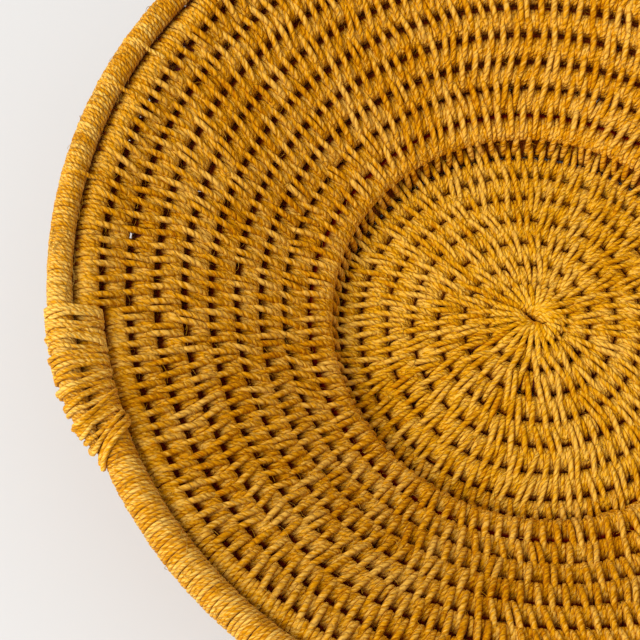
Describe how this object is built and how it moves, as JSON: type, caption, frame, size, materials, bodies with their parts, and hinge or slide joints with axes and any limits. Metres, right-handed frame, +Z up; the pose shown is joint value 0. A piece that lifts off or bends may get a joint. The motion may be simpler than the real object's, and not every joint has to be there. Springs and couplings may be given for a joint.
{
  "type": "coiled basket",
  "caption": "Shallow round bowl basket: a coiled fibre bundle sewn with two-ply sisal yarn, flat base, stepped foot, flaring wall and bound rim.",
  "frame": {"origin": "middle of the bounding box, on the surface that the base stands on", "axes": "+Z up out of the bowl, +X and +Y across the rim"},
  "size_m": [0.2478, 0.2442, 0.0559],
  "materials": {
    "fibre_bundle": "bare bundle of dry plant fibre",
    "yarn_base": "two-ply sisal yarn, golden, matt with a faint fibre sheen",
    "yarn_wall": "two-ply sisal yarn, mustard, matt with a faint fibre sheen",
    "yarn_rim": "two-ply sisal yarn, close wound, golden"
  },
  "bodies": {
    "root": {"foundation_bundle": "fibre_bundle", "yarn_round_01": "yarn_base", "yarn_round_02": "yarn_base", "yarn_round_03": "yarn_base", "yarn_round_04": "yarn_base", "yarn_round_05": "yarn_base", "yarn_round_06": "yarn_base", "yarn_round_07": "yarn_base", "yarn_round_08": "yarn_base", "yarn_round_09": "yarn_wall", "yarn_round_10": "yarn_wall", "yarn_round_11": "yarn_wall", "yarn_round_12": "yarn_wall", "yarn_round_13": "yarn_wall", "yarn_round_14": "yarn_wall", "yarn_round_15": "yarn_wall", "yarn_round_16": "yarn_wall", "yarn_round_17": "yarn_wall", "yarn_round_18": "yarn_wall", "rim_binding": "yarn_rim", "coil_end_lashing": "yarn_rim", "closing_stitch_1": "yarn_rim", "closing_stitch_2": "yarn_rim"}
  },
  "joints": []
}
